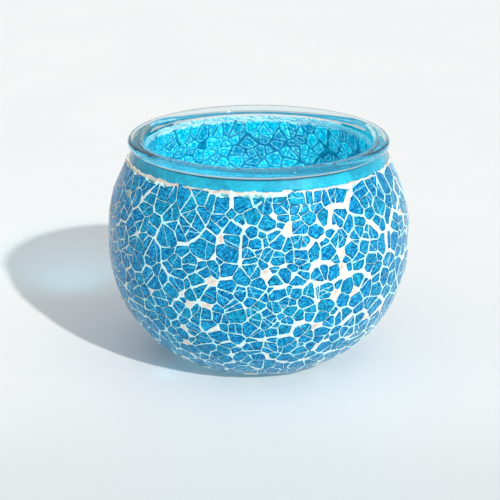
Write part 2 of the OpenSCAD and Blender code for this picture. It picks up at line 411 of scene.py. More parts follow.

# %% [markdown]
# ## Small tools for meshes
#
# Three layers are closed shells made of rings, and the chips are rings as well, so one helper
# joins rings of points into quads. Another makes the object, writes its surface values as
# attributes that the materials read, and hides the frame's nodes that it stands for. Faces are
# smooth, and only edges that bend more than the given angle stay sharp.

# %% Helpers for rings and pieces
def ring_quads(rings, count, closed=True):
    """Quads between neighbouring rings of count points each; closed joins the last to the first."""
    row = np.arange(rings if closed else rings - 1)[:, None] * count
    next_row = (row + count) % (rings * count)
    here, ahead = np.arange(count)[None, :], (np.arange(count)[None, :] + 1) % count
    return np.stack([row + here, row + ahead, next_row + ahead, next_row + here], -1).reshape(-1, 4)


def add_object(name, data):
    """A new object that shows the data, linked into the scene."""
    made = bpy.data.objects.new(name, data)
    bpy.context.scene.collection.objects.link(made)
    return made


def make_piece(name, points, faces, material, stands_for, values, sharp):
    """A smooth mesh object that rides on the part and carries named values for its material."""
    data = bpy.data.meshes.new(name)
    data.from_pydata(np.asarray(points).reshape(-1, 3).tolist(), [], faces)
    for key, numbers in values.items():
        layer = data.attributes.new(key, "FLOAT", "POINT")
        layer.data.foreach_set("value", np.asarray(numbers, np.float32).ravel())
    data.materials.append(material)
    data.shade_smooth()
    data.set_sharp_from_angle(angle=math.radians(sharp))
    piece = add_object(name, data)
    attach(piece, "root")
    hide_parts(*stands_for)
    return piece


def smooth_step(value, low, high):
    """0 below low, 1 above high, and an easy curve between."""
    t = np.clip((value - low) / (high - low), 0, 1)
    return t * t * (3 - 2 * t)


print("helpers ready")

# %% [markdown]
# ## Helpers for materials
#
# A material here is a handful of nodes with named values. Writing node after node by hand hides
# the idea, so a few short functions add a node, set its inputs and join it up. Effects that more
# than one material uses, such as mottling and fine grain, become shader node groups: they are
# built once and placed in each material with their own values.

# %% Helpers for shader nodes
def add_node(tree, kind, inputs=None, **settings):
    """A node of that kind, with settings and inputs; an input may be a value or a socket."""
    node = tree.nodes.new(kind)
    for key, value in settings.items():
        setattr(node, key, value)
    for key, value in (inputs or {}).items():
        set_input(tree, node, key, value)
    return node


def set_input(tree, node, key, value):
    """Joins a socket to the input, or writes the value into it."""
    if isinstance(value, bpy.types.NodeSocket):
        tree.links.new(value, node.inputs[key])
    else:
        node.inputs[key].default_value = value


def math_node(tree, operation, first, second=0.0):
    return add_node(tree, "ShaderNodeMath", {0: first, 1: second}, operation=operation).outputs[0]


def times(tree, first, second):
    return math_node(tree, "MULTIPLY", first, second)


def plus(tree, first, second):
    return math_node(tree, "ADD", first, second)


def blend(tree, share, first, second):
    """A colour that goes from first to second."""
    node = add_node(tree, "ShaderNodeMix", data_type="RGBA")
    for key, value in ((0, share), (6, first), (7, second)):
        set_input(tree, node, key, value)
    return node.outputs[2]


def paint_over(tree, colour, *layers):
    """The colour with layers over it, each a share and a colour."""
    for share, over in layers:
        colour = blend(tree, share, colour, over)
    return colour


def remap(tree, value, low, high, to_low=0.0, to_high=1.0):
    """The value moved from one range to another, and held inside it."""
    return add_node(tree, "ShaderNodeMapRange", {0: value, 1: low, 2: high, 3: to_low, 4: to_high},
                    interpolation_type="SMOOTHSTEP").outputs[0]


print("nodes can be added, joined and blended")

# %% [markdown]
# Patterns need a place to start from. We use the object's own space, so they stay on the piece
# when it moves, and their scale is in features to the metre. Values that the mesh carries, such
# as the distance to a broken edge, come in by name. Small relief is a bump: it bends the light
# and leaves the mesh alone, which is right for anything finer than the mesh's own points.

# %% Helpers for places, noise and materials
def surface_value(tree, name):
    return add_node(tree, "ShaderNodeAttribute", attribute_name=name).outputs["Fac"]


def object_place(tree):
    return add_node(tree, "ShaderNodeTexCoord").outputs["Object"]


def place_along(tree, axis):
    """The place's X, Y or Z on the object, in metres."""
    return add_node(tree, "ShaderNodeSeparateXYZ", {0: object_place(tree)}).outputs[axis]


def noise_value(tree, scale, detail=2.0, stretch=None, twist=0.0):
    place = object_place(tree)
    if stretch:
        place = add_node(tree, "ShaderNodeMapping", {"Vector": place, "Scale": stretch}).outputs[0]
    return add_node(tree, "ShaderNodeTexNoise",
                    {"Vector": place, "Scale": scale, "Detail": detail, "Distortion": twist}
                    ).outputs["Fac"]


def waver(tree, scale, swing):
    """Noise about zero, for lines that shouldn't be straight."""
    return times(tree, math_node(tree, "SUBTRACT", noise_value(tree, scale), 0.5), swing)


def add_bump(tree, surface, strength, depth, height):
    bump = add_node(tree, "ShaderNodeBump", {"Strength": strength, "Distance": depth, "Height": height})
    set_input(tree, surface, "Normal", bump.outputs[0])


def new_material(name, **plain):
    """A material with a Principled surface whose plain inputs are set directly."""
    material = bpy.data.materials.new(name)
    material.use_nodes = True
    tree = material.node_tree
    surface = tree.nodes["Principled BSDF"]
    for key, value in plain.items():
        surface.inputs[key.replace("_", " ")].default_value = value
    return material, tree, surface


def new_group(name, inputs, outputs):
    """An empty shader node group with named sockets: (name, kind, value) and (name, kind)."""
    group = bpy.data.node_groups.new(name, "ShaderNodeTree")
    kinds = {"colour": "NodeSocketColor", "value": "NodeSocketFloat"}
    for key, kind, value in inputs:
        socket = group.interface.new_socket(key, in_out="INPUT", socket_type=kinds[kind])
        socket.default_value = value
    for key, kind in outputs:
        group.interface.new_socket(key, in_out="OUTPUT", socket_type=kinds[kind])
    entry = group.nodes.new("NodeGroupInput").outputs
    leave = group.nodes.new("NodeGroupOutput").inputs
    return group, entry, leave


def place_group(tree, group, **values):
    """The group in a material, with its own values; an underscore stands for a space."""
    node = add_node(tree, "ShaderNodeGroup", node_tree=group)
    for key, value in values.items():
        set_input(tree, node, key.replace("_", " "), value)
    return node.outputs


print("shader helpers ready")

# %% [markdown]
# ## Mottling, a shared effect
#
# Coloured glass and cement are never one flat colour. Both drift slowly from one shade to
# another and carry a finer speckle on top. The group mixes two colours by noise of two sizes.
# One group serves the chips, the bed, the grout and the table. A chart holds each finish's two
# shades and its own sizes, so the colours can be compared, and changed, in one place.

# %% The mottling group
def build_mottling():
    black = (0, 0, 0, 1)
    group, entry, leave = new_group(
        "mottling",
        [("First", "colour", black), ("Second", "colour", black), ("Scale", "value", 200.0),
         ("Fine Scale", "value", 1200.0), ("Fine Share", "value", 0.4), ("Contrast", "value", 0.2)],
        [("Colour", "colour")])
    wide = noise_value(group, entry["Scale"], 2.0, twist=0.6)
    fine = noise_value(group, entry["Fine Scale"], 3.0, twist=1.2)
    share = add_node(group, "ShaderNodeMix", {0: entry["Fine Share"], 2: wide, 3: fine}).outputs[0]
    low = math_node(group, "SUBTRACT", 0.5, entry["Contrast"])
    high = plus(group, 0.5, entry["Contrast"])
    share = remap(group, share, low, high)
    group.links.new(blend(group, share, entry["First"], entry["Second"]), leave["Colour"])
    return group


mottling = build_mottling()

# Each shade: first and second colour, scale, fine scale, share of the fine noise, contrast.
SHADES = {
    "azure glass": ((0.0, 0.12, 0.34), (0.0, 0.25, 0.58), 420.0, 1500.0, 0.55, 0.10),
    "teal glass": ((0.0, 0.15, 0.29), (0.003, 0.34, 0.56), 300.0, 1300.0, 0.6, 0.11),
    "clear sliver": ((0.14, 0.27, 0.26), (0.52, 0.66, 0.62), 500.0, 1500.0, 0.5, 0.16),
    "white grout": ((0.58, 0.84, 0.87), (0.76, 0.93, 0.94), 260.0, 2200.0, 0.45, 0.16),
    "lit grout": ((0.38, 0.80, 0.87), (0.58, 0.95, 0.97), 260.0, 2200.0, 0.45, 0.16),
    "peach grout": ((0.66, 0.50, 0.43), (0.86, 0.75, 0.64), 300.0, 1800.0, 0.4, 0.14),
    "bright bed": ((0.0, 0.48, 0.70), (0.0, 0.70, 0.86), 260.0, 900.0, 0.5, 0.15),
    "deep bed": ((0.0, 0.12, 0.28), (0.0, 0.22, 0.42), 200.0, 800.0, 0.4, 0.18),
    "collar": ((0.0, 0.27, 0.42), (0.01, 0.44, 0.60), 120.0, 700.0, 0.35, 0.14),
    "bare grout": ((0.62, 0.60, 0.54), (0.88, 0.90, 0.88), 300.0, 1400.0, 0.4, 0.15),
    "table paint": ((0.90, 0.905, 0.905), (0.93, 0.932, 0.93), 6.0, 60.0, 0.2, 0.2)}


def shade(tree, name):
    """The colour of one of the shades, mottled."""
    first, second, scale, fine_scale, fine_share, contrast = SHADES[name]
    return place_group(tree, mottling, First=(*first, 1), Second=(*second, 1), Scale=scale,
                       Fine_Scale=fine_scale, Fine_Share=fine_share, Contrast=contrast)["Colour"]


print("built the mottling group with", len(mottling.nodes), "nodes for", len(SHADES), "shades")

# %% [markdown]
# ## Foil-like crinkle, a shared effect
#
# Toughened glass that has been crushed keeps tiny fractures inside, and the tinted bed behind it
# wrinkles as it dries. Together they look like crumpled foil. The group gives a height for a bump
# node, made of soft lumps and sharp creases, and the crease alone, which the colour uses too. We
# could model the wrinkles, but they are a tenth of a millimetre high and the bump is enough.

# %% The crinkle group
def build_crinkle():
    group, entry, leave = new_group(
        "crinkle", [("Scale", "value", 900.0), ("Crease Share", "value", 0.5)],
        [("Height", "value"), ("Crease", "value")])
    lumps = noise_value(group, entry["Scale"], 2.0, twist=0.4)
    folds = noise_value(group, times(group, entry["Scale"], 0.63), 1.5, twist=1.5)
    away = math_node(group, "ABSOLUTE", math_node(group, "SUBTRACT", folds, 0.5))
    crease = math_node(group, "SUBTRACT", 1.0, remap(group, away, 0.0, 0.07))
    height = add_node(group, "ShaderNodeMix", {0: entry["Crease Share"], 2: lumps, 3: crease})
    group.links.new(height.outputs[0], leave["Height"])
    group.links.new(crease, leave["Crease"])
    return group


crinkle = build_crinkle()
print("built the crinkle group with", len(crinkle.nodes), "nodes")

# %% [markdown]
# ## The crackle glass
#
# A chip is blue glass over a silvery, crumpled ground. The smooth clear top is the coat of the
# surface and keeps its own mirror-like shine. The wrinkled ground is the base under it and gets
# the bump. The colour goes from deep azure to bright blue and drifts towards teal on some chips.
# Dark and bright streaks run along each chip in its own direction. Small spots and the foil's
# creases are painted a lighter blue, as painted glints, and a thin line along the broken edge is
# painted dark, as painted shade where the grout shades the glass.
# Some chips have one wandering hairline crack. It is pale, as are the chip's cut sides, because
# grout has crept into them. The chips carry where all this lies: the distances to the broken
# edge and to the hairline, and the place along and across the streaks, in millimetres.

# %% Crackle glass material
STREAK_STRETCH, STREAK_SCALE = 0.36, 1.9
NEXT_CHIP = 60.0
DARK_STREAK, BRIGHT_STREAK = (0.0, 0.06, 0.19, 1), (0.02, 0.47, 0.80, 1)
CREASE_GLINT_BLUE, GLINT_BLUE = (0.02, 0.47, 0.84, 1), (0.20, 0.72, 0.93, 1)
EDGE_SHADE, PALE_CRACK = (0.0, 0.05, 0.13, 1), (0.50, 0.93, 0.98, 1)


def streak_noise(tree, tone):
    """Noise drawn out along each chip's own direction; the tone picks a new patch of noise."""
    place = add_node(tree, "ShaderNodeCombineXYZ",
                     {0: times(tree, surface_value(tree, "streak_a"), STREAK_STRETCH),
                      1: surface_value(tree, "streak_b"), 2: times(tree, tone, NEXT_CHIP)})
    return add_node(tree, "ShaderNodeTexNoise", {"Vector": place.outputs[0], "Scale": STREAK_SCALE,
                                                 "Detail": 3.0, "Distortion": 0.7}).outputs["Fac"]


def crackle_material():
    material, tree, surface = new_material(
        "crackle glass", Coat_Roughness=0.06, Coat_IOR=1.13, Specular_IOR_Level=0.02)
    tone, edge = surface_value(tree, "tone"), surface_value(tree, "edge")
    foil = place_group(tree, crinkle, Scale=1100.0, Crease_Share=0.4)
    drift = plus(tree, times(tree, tone, 0.6), times(tree, noise_value(tree, 60.0, 1.0), 0.7))
    streaks = streak_noise(tree, tone)
    # Painted glints: small spots, and the foil's creases below, are painted a lighter blue.
    painted_glint = remap(tree, noise_value(tree, 2300.0, 2.0), 0.62, 0.71)
    rim = times(tree, remap(tree, edge, 0.14, 0.42, 0.6, 0.0),
                remap(tree, noise_value(tree, 500.0, 1.0), 0.34, 0.54, 0.55, 1.0))
    colour = paint_over(tree, shade(tree, "azure glass"),
                        (remap(tree, drift, 0.55, 0.95), shade(tree, "teal glass")),
                        (remap(tree, streaks, 0.34, 0.49, 0.95, 0.0), DARK_STREAK),
                        (remap(tree, streaks, 0.52, 0.62, 0.0, 0.95), BRIGHT_STREAK),
                        (times(tree, foil["Crease"], 0.35), CREASE_GLINT_BLUE),
                        (times(tree, painted_glint, 0.75), GLINT_BLUE),
                        (surface_value(tree, "clear"), shade(tree, "clear sliver")),
                        (rim, EDGE_SHADE))
    from_line = plus(tree, surface_value(tree, "hairline"), waver(tree, 500.0, 1.3))
    hairline = remap(tree, math_node(tree, "ABSOLUTE", from_line), 0.05, 0.14, 1.0, 0.0)
    side = remap(tree, edge, -0.06, 0.01, 1.0, 0.0)
    pale = math_node(tree, "MAXIMUM", times(tree, hairline, 0.7), side)
    set_input(tree, surface, "Base Color", blend(tree, pale, colour, PALE_CRACK))
    set_input(tree, surface, "Metallic", remap(tree, pale, 0.0, 0.6, 0.08, 0.0))
    set_input(tree, surface, "Roughness", remap(tree, pale, 0.0, 0.6, 0.38, 0.8))
    set_input(tree, surface, "Coat Weight", remap(tree, side, 0.0, 0.8, 1.0, 0.1))
    add_bump(tree, surface, 0.7, 0.12 * MM, foil["Height"])
    return material


crackle_glass = crackle_material()
print("crackle glass has", len(crackle_glass.node_tree.nodes), "shader nodes")

# %% [markdown]
# ## Chips with broken edges
#
# A chip comes out of the frame as a sharp flat prism. Broken glass is never so clean: its corners
# are a little blunt and its sides waver. Both sides of a crack were once one piece, so they have
# to waver together. Noise that belongs to the place in space does that, where noise for each chip
# alone would open gaps and overlaps. Broader noise lets the top row's chips end raggedly. The
# noise gets a fixed seed, because Blender's own one changes with the time of day.

# %% Blunt and wavering outlines
POINT_STEP = 0.5 * MM
BLUNT, CORNER_REACH, CORNER_ROUND = (0.06, 0.4), 0.3, 0.27
WANDER, WANDER_SCALE = 0.32 * MM, 560
NICK, NICK_SCALE = 0.09 * MM, 2100
CHIP_TOP, TOP_REACH = 66.3 * MM, 3.2 * MM
TOP_SWING, SWING_SCALE = 2.0 * MM, 170
WANDER_SEED = 3
noise.seed_set(WANDER_SEED)


def wandered(flat, chip):
    """Points moved by noise that belongs to the place, so both sides of a crack move together."""
    moved = []
    for x, y in flat:
        place = Vector(chip["centre"] + x * chip["across"] + y * chip["up"])
        push = (noise.noise_vector(place * WANDER_SCALE) * WANDER
                + noise.noise_vector(place * NICK_SCALE) * NICK)
        near_top = float(smooth_step(place.z, CHIP_TOP - TOP_REACH, CHIP_TOP))
        rise = near_top * (noise.noise(place * SWING_SCALE) * TOP_SWING)
        moved.append((x + push.dot(chip["across"]), y + push.dot(chip["up"]) + rise))
    return np.array(moved)


def blunt_outline(chip, chance):
    """The chip's outline with blunt corners and wandering sides."""
    corners, points = chip["outline"], []
    for i, here in enumerate(corners):
        back, ahead = corners[i - 1] - here, corners[(i + 1) % len(corners)] - here
        cut = min(chance.uniform(*BLUNT) * MM, CORNER_REACH * np.linalg.norm(back),
                  CORNER_REACH * np.linalg.norm(ahead))
        back, ahead = (v / np.linalg.norm(v) * cut for v in (back, ahead))
        points += [here + back, here + (back + ahead) * CORNER_ROUND, here + ahead]
    dense = []
    for i, start in enumerate(points):
        end = points[(i + 1) % len(points)]
        parts = max(1, round(np.linalg.norm(end - start) / POINT_STEP))
        dense += [start + (end - start) * k / parts for k in range(parts)]
    return wandered(dense, chip)


print("outlines get a point about every", POINT_STEP / MM, "mm")

# %% [markdown]
# A chip's top edge is rubbed round when the grout is wiped. We build each chip again from rings
# that follow its outline: the back, a side that flares a little so the joint narrows towards the
# top, and two steps of the rubbed edge. Two more rings and a middle point make the face. They are
# enough to let it swell and tilt slightly, so neighbours catch the light differently. The rings
# stay a little under the face of the solid that they replace. Each ring is an inset and a level,
# in millimetres.

# %% The rings of a chip
CHIP_RINGS = ((0.05, -1.98), (-0.07, -0.17), (-0.045, -0.09), (0.0, -0.05))
CHIP_THICK = 2 * MM
FACE_INSET, FACE_SHARE = 0.55 * MM, 0.45
MOST_TILT = 0.05 * MM
SWELL, SWELL_SCALE = 0.03 * MM, 330
UNDER_EDGE = -0.3
STREAK_TURN, STREAK_SPREAD = 0.4, 0.6
HAIRLINE_SHARE, NO_HAIRLINE = 0.09, 9.0


def inward(points, distance):
    """The outline moved in by that distance, corner by corner."""
    along = np.roll(points, -1, 0) - np.roll(points, 1, 0)
    along /= np.linalg.norm(along, axis=1)[:, None]
    return points + distance * np.stack([-along[:, 1], along[:, 0]], 1)


def distance_to_outline(points, outline):
    """How far each point lies from the nearest side of the outline."""
    side = np.roll(outline, -1, 0) - outline
    away = points[:, None] - outline
    share = np.clip((away * side).sum(-1) / (side ** 2).sum(-1), 0, 1)
    return np.linalg.norm(away - share[..., None] * side, axis=-1).min(1)


def chip_rings(outline, thick):
    """Rings of flat points, each with its level over the chip's face."""
    inset, level = CHIP_RINGS[0]
    rings = [(inward(outline, inset * MM), level * MM * (thick / CHIP_THICK))]
    rings += [(inward(outline, inset * MM), level * MM) for inset, level in CHIP_RINGS[1:]]
    top = rings[-1][1]
    far = np.linalg.norm(outline, axis=1)[:, None]
    rings += [(outline * (1 - np.minimum(FACE_INSET / far, FACE_SHARE)), top),
              (outline * FACE_SHARE, top), (outline[:1] * 0, top)]
    return rings


def chip_values(flat, outline, chip, chance):
    """What the material needs to know at each point of the chip."""
    count = len(outline)
    edge = distance_to_outline(flat, outline) / MM
    edge[:2 * count] = UNDER_EDGE
    edge[2 * count:3 * count] = 0
    turn = chance.gauss(STREAK_TURN, STREAK_SPREAD)
    along = np.array([math.cos(turn), math.sin(turn)])
    values = {"edge": edge, "streak_a": flat @ along / MM, "streak_b": flat @ (-along[1], along[0]) / MM}
    for name in ("tone", "clear"):
        values[name] = np.full(len(flat), chip[name])
    turn, shift = chance.uniform(0, math.pi), chance.uniform(-0.3, 0.3) * chip["size"]
    line = (flat @ (math.cos(turn), math.sin(turn)) - shift) / MM
    wanted = chance.random() < chip["size"] / MM * HAIRLINE_SHARE
    values["hairline"] = line if wanted else np.full(len(flat), NO_HAIRLINE)
    return values


print("a chip has", len(CHIP_RINGS) + 2, "rings and a middle point")

# %% [markdown]
# All the chips of a sheet make one object, as they do in the frame. Each gets its tilt and swell,
# its quads from ring to ring, a fan of triangles round the middle, and one face for its back.

# %% Build the chips, sheet by sheet
def build_chip(chip, chance):
    """Points, faces and surface values of one chip."""
    outline = blunt_outline(chip, chance)
    rings = chip_rings(outline, chip["thick"])
    flat = np.concatenate([ring for ring, level in rings])
    level = np.concatenate([np.full(len(ring), level) for ring, level in rings])
    count = len(outline)
    on_face = np.arange(len(flat)) >= 2 * count
    tilt = np.array([chance.uniform(-1, 1), chance.uniform(-1, 1)]) * MOST_TILT / chip["size"]
    seed = chance.uniform(0, 50)
    swell = np.array([noise.noise((x * SWELL_SCALE + seed, y * SWELL_SCALE, seed)) for x, y in flat])
    level = level + on_face * (flat @ tilt + SWELL * swell)
    points = (chip["centre"] + flat[:, :1] * chip["across"] + flat[:, 1:] * chip["up"]
              + level[:, None] * chip["normal"])
    last = (len(rings) - 2) * count
    faces = ring_quads(len(rings) - 1, count, closed=False).tolist()
    faces += [(last + i, last + (i + 1) % count, last + count) for i in range(count)]
    faces += [tuple(range(count - 1, -1, -1))]
    return points, faces, chip_values(flat, outline, chip, chance)


chip_dice = random.Random(11)
face_count = 0
for node in sheet_nodes:
    points, faces, values, start = [], [], [], 0
    for chip in sheets[node]:
        new_points, new_faces, new_values = build_chip(chip, chip_dice)
        points.append(new_points)
        values.append(new_values)
        faces += [[index + start for index in face] for face in new_faces]
        start += len(new_points)
    row, number = node.split("_sheet_")
    joined = {name: np.concatenate([v[name] for v in values]) for name in values[0]}
    make_piece(f"chips_{row}_{number}", np.concatenate(points), faces, crackle_glass, [node],
               joined, sharp=50)
    face_count += len(faces)
print("built", len(sheet_nodes), "sheets of chips with", face_count, "faces")

# %% [markdown]
# ## The grout's finish
#
# Grout is a pale cement with fine pits. Light comes through the blue glass beside a thin joint and
# tints it a little, so thin joints are a pale blue and wide ones white. Thick patches dry slower
# and turn peach. Towards the bowl's left side, away from the lamp, thin joints are painted peach
# too and patches turn peach more readily: that is painted shade. The mesh carries how wide the
# joint is at each place, and the material mixes by it.

# %% Grout material
LEFT_SIDE, SHADED_JOINTS_TO, SHADED_PATCHES_TO = -50 * MM, -30 * MM, 20 * MM
PIT_GREY = (0.40, 0.44, 0.45, 1)


def grout_material():
    material, tree, surface = new_material("white grout", Roughness=0.82, Specular_IOR_Level=0.25)
    wide, place_x = surface_value(tree, "wide"), place_along(tree, "X")
    # Painted shade: towards the left side, away from the lamp, thin joints are painted peach and patches
    # turn peach more readily.
    stain_and_left_shade = plus(tree, noise_value(tree, 330.0, 2.0),
                 remap(tree, place_x, LEFT_SIDE, SHADED_PATCHES_TO, 0.22, 0.0))
    left_shade = times(tree, remap(tree, place_x, LEFT_SIDE, SHADED_JOINTS_TO, 0.8, 0.0),
                 remap(tree, stain_and_left_shade, 0.50, 0.72))
    thick = times(tree, remap(tree, wide, 0.16, 0.42), remap(tree, stain_and_left_shade, 0.40, 0.62, 0.15, 0.95))
    pits = remap(tree, noise_value(tree, 3400.0, 2.0), 0.62, 0.70)
    colour = paint_over(tree, shade(tree, "lit grout"),
                        (remap(tree, wide, 0.02, 0.13), shade(tree, "white grout")),
                        (math_node(tree, "MAXIMUM", thick, left_shade), shade(tree, "peach grout")),
                        (times(tree, pits, 0.35), PIT_GREY))
    set_input(tree, surface, "Base Color", colour)
    grain = math_node(tree, "SUBTRACT", noise_value(tree, 2400.0, 3.0), times(tree, pits, 0.4))
    add_bump(tree, surface, 0.55, 0.12 * MM, grain)
    return material


white_grout = grout_material()
print("white grout has", len(white_grout.node_tree.nodes), "shader nodes")

# %% [markdown]
# ## The grout's shape
#
# Grout is pushed into the cracks and wiped off while it is still wet. It ends a little below the
# chips, hollows between them, and follows their height from chip to chip. We make it as one wide
# grid that wraps the bowl: high between the chips and just under their rims, and down at the
# chips' backs inside the pockets, where nobody can see it. A grid is easy to keep closed, and it
# needs no cutting. At the top a ragged bead lies over the neck's ledge and hides the joint.

# %% Grout shape
WIPED_DEPTH, HOLLOW, UNDER_RIM = 0.055 * MM, 0.07 * MM, 0.10 * MM
UNEVEN, UNEVEN_SCALE, UNEVEN_SEED = 0.02 * MM, 420, 3.0
GROUT_SWING = 0.8 * MM
INNER_RINGS = 20
BEHIND_TOP = UP_TOP + 1.1 * MM
BEAD_UP, BEAD_DEPTH, BEAD_WIDE = UP_TOP + 0.2 * MM, 0.5 * MM, 0.5
LEDGE_UP, LEDGE_DEPTH = UP_TOP + 0.5 * MM, NECK_DEPTH + 0.06 * MM
FOOT_DEPTH = 1.2 * MM
BAND_FROM, BAND_WIDE = UP_TOP - 1.4 * MM, 0.4


def noise_grid(scale, seed):
    """Noise from -1 to 1 over the whole grid, without a seam."""
    points, _ = grid_places(grid_up, 0)
    flat = points.reshape(-1, 3) * scale + seed
    return np.array([noise.noise(p) for p in flat]).reshape(ROWS, TURNS)


def ragged_rows(rows, swing, seed):
    """Rows of the grid whose top wavers round the bowl."""
    rows = np.repeat(np.asarray(rows)[:, None], TURNS, 1)
    top = [(60 * math.cos(a) + seed, 60 * math.sin(a), seed) for a in grid_turn]
    wave = [noise.noise(Vector(p) * 0.2) + 0.5 * noise.noise(Vector(p) * 0.7) for p in top]
    near_top = smooth_step(rows, UP_TOP - TOP_REACH, UP_TOP)
    return rows + near_top * (0.6 + np.array(wave)) * swing


wiped = chip_lift - WIPED_DEPTH - HOLLOW * smooth_step(chip_edge, 0.15 * MM, 0.9 * MM)
wiped = wiped - UNDER_RIM * smooth_step(-chip_edge, 0.1 * MM, 0.4 * MM)
wiped = wiped + UNEVEN * noise_grid(UNEVEN_SCALE, UNEVEN_SEED)
pocket = smooth_step(-chip_edge, 0.5 * MM, 0.9 * MM)
grout_depth = (1 - pocket) * -wiped + pocket * BACK_DEPTH
outer, _ = grid_places(ragged_rows(grid_up, GROUT_SWING, 0), grout_depth)
bead, _ = grid_places(ragged_rows([BEAD_UP], GROUT_SWING, 0), BEAD_DEPTH)
ledge, _ = grid_places(np.array([LEDGE_UP]), LEDGE_DEPTH)
inner, _ = grid_places(np.linspace(BEHIND_TOP, UP_BOTTOM, INNER_RINGS), BACK_DEPTH + 0.1 * MM)
foot, _ = grid_places(np.array([UP_BOTTOM]), FOOT_DEPTH)
shell = np.concatenate([outer, bead, ledge, inner, foot])
wide = np.clip(chip_edge / MM, 0, 2)
for _ in range(3):
    wide = (wide + np.roll(wide, 1, 1) + np.roll(wide, -1, 1)) / 3
    wide[1:-1] = (wide[1:-1] + wide[:-2] + wide[2:]) / 3
shell_wide = np.full(shell.shape[:2], 0.2)
shell_wide[:ROWS] = wide + BAND_WIDE * smooth_step(grid_up, BAND_FROM, UP_TOP)[:, None]
shell_wide[ROWS] = BEAD_WIDE
grout = make_piece("grout_shell", shell, ring_quads(len(shell), TURNS).tolist(), white_grout,
                   ["grout"], {"wide": shell_wide}, sharp=60)
print("the grout has", len(grout.data.polygons), "faces")

# %% [markdown]
# ## The tinted bed's finish
#
# The chips are set into a blue bed on the outside of the clear glass, and from inside the bowl
# only this layer shows. Behind every chip it is bright, because light comes through the glass
# there, with a paler rim just inside the chip's edge that is a painted highlight. Between the
# chips it is deep blue, where the grout shuts the light out, and finer splits run through it,
# which a Voronoi pattern gives.
# Higher up the bed turns ragged and bare grout looks through. Its outer face only shows through
# the neck's glass: an even blue collar, with painted shade at the very top, in the groove under
# the lip. The bed glows a little by itself, for the light that comes through it and can't be followed.

# %% Tinted bed material
FLECK_BLUE, HIGHLIGHT_RIM_BLUE = (0.12, 0.80, 0.90, 1), (0.25, 0.84, 0.93, 1)
GROOVE_SHADE, NO_GLOW = (0.0, 0.05, 0.10, 1), (0, 0, 0, 1)
GROOVE_FROM, GROOVE_TO = 70.2 * MM, 70.9 * MM
BARE_FROM, BARE_TO = 71.9 * MM, 72.3 * MM
RAGGED, RAGGED_BY_EDGE = 6 * MM, 1.2 * MM
OUTER_GLOW = 0.2


def bed_cells(tree, edge, split):
    """The inner face's colour: bright cells with flecks and a painted highlight rim, and deep gaps."""
    deep = shade(tree, "deep bed")
    fleck = remap(tree, noise_value(tree, 620.0, 2.0, twist=0.8), 0.55, 0.68, 0.0, 0.7)
    # Painted highlight: a paler band just inside each chip's edge.
    rim = times(tree, remap(tree, edge, -0.80, -0.50), remap(tree, edge, -0.45, -0.25, 1.0, 0.0))
    worn = remap(tree, noise_value(tree, 330.0, 2.0), 0.38, 0.56, 0.3, 1.0)
    gap = math_node(tree, "MAXIMUM", times(tree, remap(tree, edge, -0.32, 0.0, 0.0, 0.75), worn),
                    remap(tree, split, 0.02, 0.14, 0.62, 0.0))
    return paint_over(tree, shade(tree, "bright bed"),
                      (remap(tree, surface_value(tree, "tone"), 0.2, 1.0, 0.0, 0.75), deep),
                      (fleck, FLECK_BLUE), (times(tree, rim, 0.6), HIGHLIGHT_RIM_BLUE), (gap, deep))


def bed_material():
    material, tree, surface = new_material(
        "blue tint", Specular_IOR_Level=0.08, Emission_Strength=0.66)
    inside, height = surface_value(tree, "inside"), place_along(tree, "Z")
    edge = plus(tree, surface_value(tree, "edge"), waver(tree, 480.0, 0.5))
    split = add_node(tree, "ShaderNodeTexVoronoi", {"Vector": object_place(tree), "Scale": 500.0},
                     feature="DISTANCE_TO_EDGE").outputs["Distance"]
    # Painted shade: the collar goes dark at the very top, in the groove under the lip.
    collar = blend(tree, remap(tree, height, GROOVE_FROM, GROOVE_TO), shade(tree, "collar"),
                   GROOVE_SHADE)
    colour = blend(tree, inside, collar, bed_cells(tree, edge, split))
    ragged = plus(tree, times(tree, noise_value(tree, 190.0, 3.0, twist=0.8), RAGGED), height)
    ragged = plus(tree, ragged, times(tree, edge, RAGGED_BY_EDGE))
    bare = times(tree, remap(tree, ragged, BARE_FROM, BARE_TO), remap(tree, inside, 0.85, 1.0))
    set_input(tree, surface, "Base Color", blend(tree, bare, colour, shade(tree, "bare grout")))
    set_input(tree, surface, "Roughness", remap(tree, edge, -0.6, 0.0, 0.35, 0.6))
    glow = math_node(tree, "MAXIMUM", remap(tree, edge, -0.25, 0.05, 1.0, 0.3), bare)
    glow = times(tree, glow, remap(tree, inside, 0.0, 1.0, OUTER_GLOW, 1.0))
    set_input(tree, surface, "Emission Color", blend(tree, glow, NO_GLOW, colour))
    foil = place_group(tree, crinkle, Scale=700.0, Crease_Share=0.3)
    lumps = math_node(tree, "MINIMUM", remap(tree, edge, -0.9, 0.1, 1.0, 0.0),
                      remap(tree, split, 0.0, 0.3))
    lumps = times(tree, plus(tree, lumps, times(tree, foil["Height"], 0.35)), inside)
    add_bump(tree, surface, 1.0, 0.7 * MM, lumps)
    return material


blue_tint = bed_material()
print("blue tint has", len(blue_tint.node_tree.nodes), "shader nodes")

# %% [markdown]
# ## The tinted bed's shape
#
# The bed is a thin closed shell, so rings do here as well. Its inner face needs the whole grid,
# as it carries the map of the chips, and its outer face only a few rings. The inner face reaches
# a hair into the bowl's wall, which stands for the two being stuck together with no air between
# them. Both faces go on behind the neck's glass, the outer one up to the groove under the lip,
# and a pale cap ring closes them, as bare as the grout beside it.

